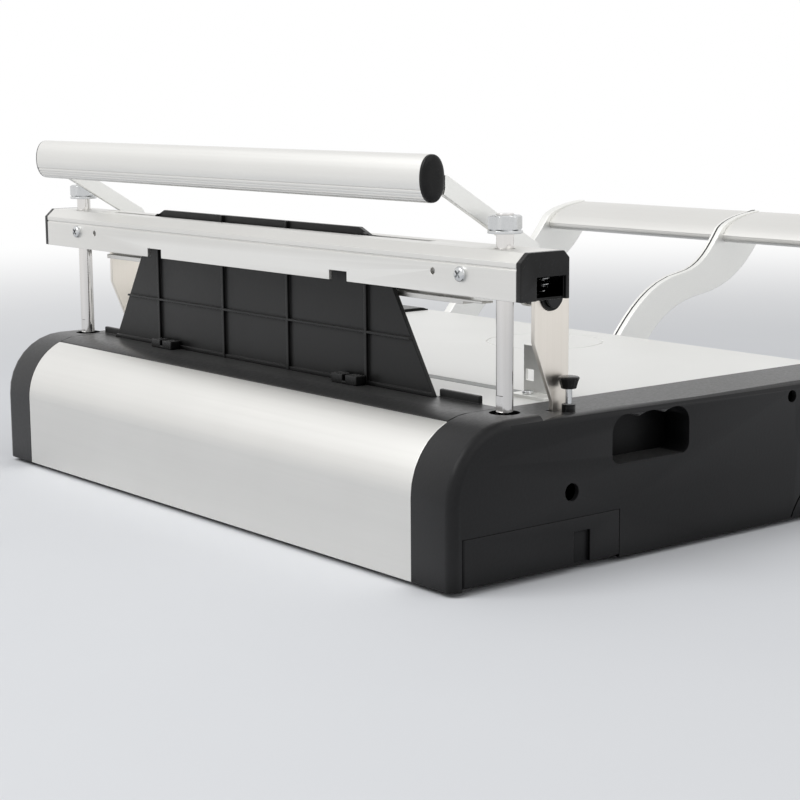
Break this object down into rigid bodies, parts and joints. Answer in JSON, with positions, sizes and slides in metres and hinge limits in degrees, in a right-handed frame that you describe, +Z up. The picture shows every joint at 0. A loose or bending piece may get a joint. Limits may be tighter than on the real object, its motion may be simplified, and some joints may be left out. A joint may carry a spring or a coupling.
{
  "type": "desktop binding press",
  "caption": "Flat desktop press with a table, a press beam on columns pushed down by a tube handle at the rear, and a wide front lever that lifts a bar in the table.",
  "frame": {"origin": "middle of the bounding box on the plane under the rubber feet", "axes": "+X to the operator's right, +Y to the rear of the machine, +Z up; the operator stands at the front lever"},
  "size_m": [0.538, 0.546, 0.2405],
  "materials": {
    "black_abs": "fine matt grain",
    "silver_aluminium": "satin anodised",
    "table_paint": "satin pale grey",
    "chrome": "polished",
    "polished_steel": "polished",
    "zinc_steel": "zinc plated",
    "rubber": "matt",
    "bronze": "sintered",
    "grey_plastic": "satin",
    "white_plastic": "waxy"
  },
  "bodies": {
    "base": {"left_end_shell": "black_abs", "right_end_shell": "black_abs", "rear_panel": "silver_aluminium", "top_strip": "black_abs", "front_panel": "black_abs", "bottom_pan": "zinc_steel", "rubber_feet": "rubber", "pan_screws": "zinc_steel", "left_side_frame": "zinc_steel", "right_side_frame": "zinc_steel", "post_blocks": "zinc_steel", "left_post": "chrome", "right_post": "chrome", "stop_washers": "polished_steel", "stop_nuts": "polished_steel", "table_plate": "table_paint", "left_fence": "silver_aluminium", "right_fence": "silver_aluminium", "fence_screws": "zinc_steel", "guard_plate": "black_abs", "guard_clips": "black_abs", "left_strap": "polished_steel", "right_strap": "polished_steel", "strap_bolts": "zinc_steel", "strap_bushes": "black_abs", "lever_bushes": "bronze", "rocker_bushes": "bronze", "hub_covers": "black_abs", "hatch_pin": "zinc_steel"},
    "handle": {"handle_tube": "silver_aluminium", "handle_caps": "black_abs", "left_handle_arm": "silver_aluminium", "right_handle_arm": "silver_aluminium", "handle_pins": "zinc_steel"},
    "beam": {"beam_rail": "silver_aluminium", "left_beam_cap": "black_abs", "right_beam_cap": "black_abs", "guide_blocks": "white_plastic", "press_foot": "silver_aluminium", "beam_screws": "zinc_steel", "left_cap_spring": "zinc_steel", "right_cap_spring": "zinc_steel"},
    "lever": {"lever_shaft": "zinc_steel", "left_lever_arm": "silver_aluminium", "middle_lever_arm": "silver_aluminium", "right_lever_arm": "silver_aluminium", "lever_bar": "silver_aluminium", "lever_cams": "zinc_steel"},
    "rocker": {"rocker_shaft": "zinc_steel", "rocker_plates": "zinc_steel"},
    "lifter": {"lift_bar": "grey_plastic", "lift_pins": "zinc_steel"},
    "lock": {"lock_pin": "zinc_steel", "lock_knob": "black_abs"},
    "hatch": {"side_hatch": "black_abs"}
  },
  "joints": [
    {"name": "handle_swing", "type": "hinge", "parent": "base", "child": "handle", "pos_m": [0, 0.1805, 0.158], "axis": [-1, 0, 0], "range_deg": [0, 65]},
    {"name": "beam_slide", "type": "slide", "parent": "base", "child": "beam", "axis": [0, 0, -1], "range_m": [0, 0.04]},
    {"name": "lever_swing", "type": "hinge", "parent": "base", "child": "lever", "pos_m": [0, -0.034, 0.064], "axis": [1, 0, 0], "range_deg": [0, 32]},
    {"name": "rocker_swing", "type": "hinge", "parent": "base", "child": "rocker", "pos_m": [0, 0.051, 0.037], "axis": [1, 0, 0], "range_deg": [0, 7.11]},
    {"name": "lifter_slide", "type": "slide", "parent": "base", "child": "lifter", "axis": [0, 0, 1], "range_m": [0, 0.0106]},
    {"name": "lock_slide", "type": "slide", "parent": "base", "child": "lock", "axis": [0, 0, 1], "range_m": [0, 0.012]},
    {"name": "hatch_swing", "type": "hinge", "parent": "base", "child": "hatch", "pos_m": [-0.258, 0.263, 0.018], "axis": [0, 0, -1], "range_deg": [0, 75]}
  ],
  "couplings": [
    {"joint": "beam_slide", "follows": "handle_swing", "m_per_rad": 0.03525},
    {"joint": "rocker_swing", "follows": "lever_swing", "ratio": 0.222},
    {"joint": "lifter_slide", "follows": "lever_swing", "m_per_rad": 0.01896}
  ]
}
